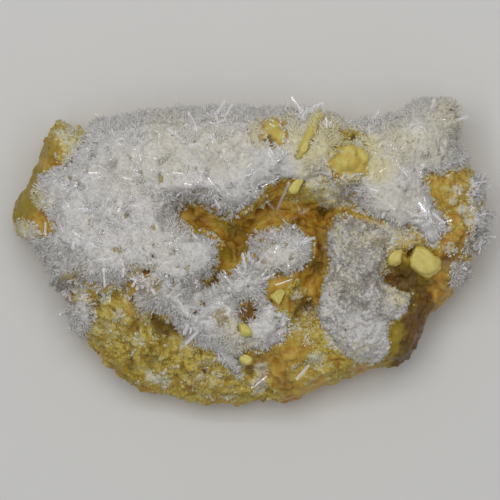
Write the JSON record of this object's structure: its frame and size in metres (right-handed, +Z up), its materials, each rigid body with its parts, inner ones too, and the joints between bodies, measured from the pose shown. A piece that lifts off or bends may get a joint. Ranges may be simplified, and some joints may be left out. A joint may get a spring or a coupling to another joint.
{
  "type": "native sulfur crystal specimen",
  "caption": "Lump of amber native sulfur under a white crust of needle crystals and clear prisms, with lemon-yellow sulfur crystals, lying on its flat back.",
  "frame": {"origin": "centre of the outline, on the flat back that the lump rests on", "axes": "+X along the lump's length, +Y towards its crust-covered long edge, +Z up, out of the crystal side"},
  "size_m": [0.1123, 0.0724, 0.0368],
  "materials": {
    "amber_sulfur": "waxy",
    "lemon_sulfur": "waxy",
    "needle_crust": "sugary",
    "grey_crust": "granular",
    "clear_prism": "glassy"
  },
  "bodies": {
    "root": {"sulfur_lump": "amber_sulfur", "needle_crust": "needle_crust", "foot_crust": "needle_crust", "grey_crust": "grey_crust", "right_tip_crust": "needle_crust", "right_edge_crust": "needle_crust", "right_lower_crust": "needle_crust", "large_lemon_crystal": "lemon_sulfur", "small_lemon_crystal": "lemon_sulfur", "sulfur_blade": "lemon_sulfur", "sulfur_hook": "lemon_sulfur", "upper_sulfur_crystal": "lemon_sulfur", "middle_sulfur_crystal": "lemon_sulfur", "lower_sulfur_crystal": "lemon_sulfur", "cavity_prism": "clear_prism", "cavity_side_prism": "clear_prism", "lower_prism": "clear_prism"}
  },
  "joints": []
}
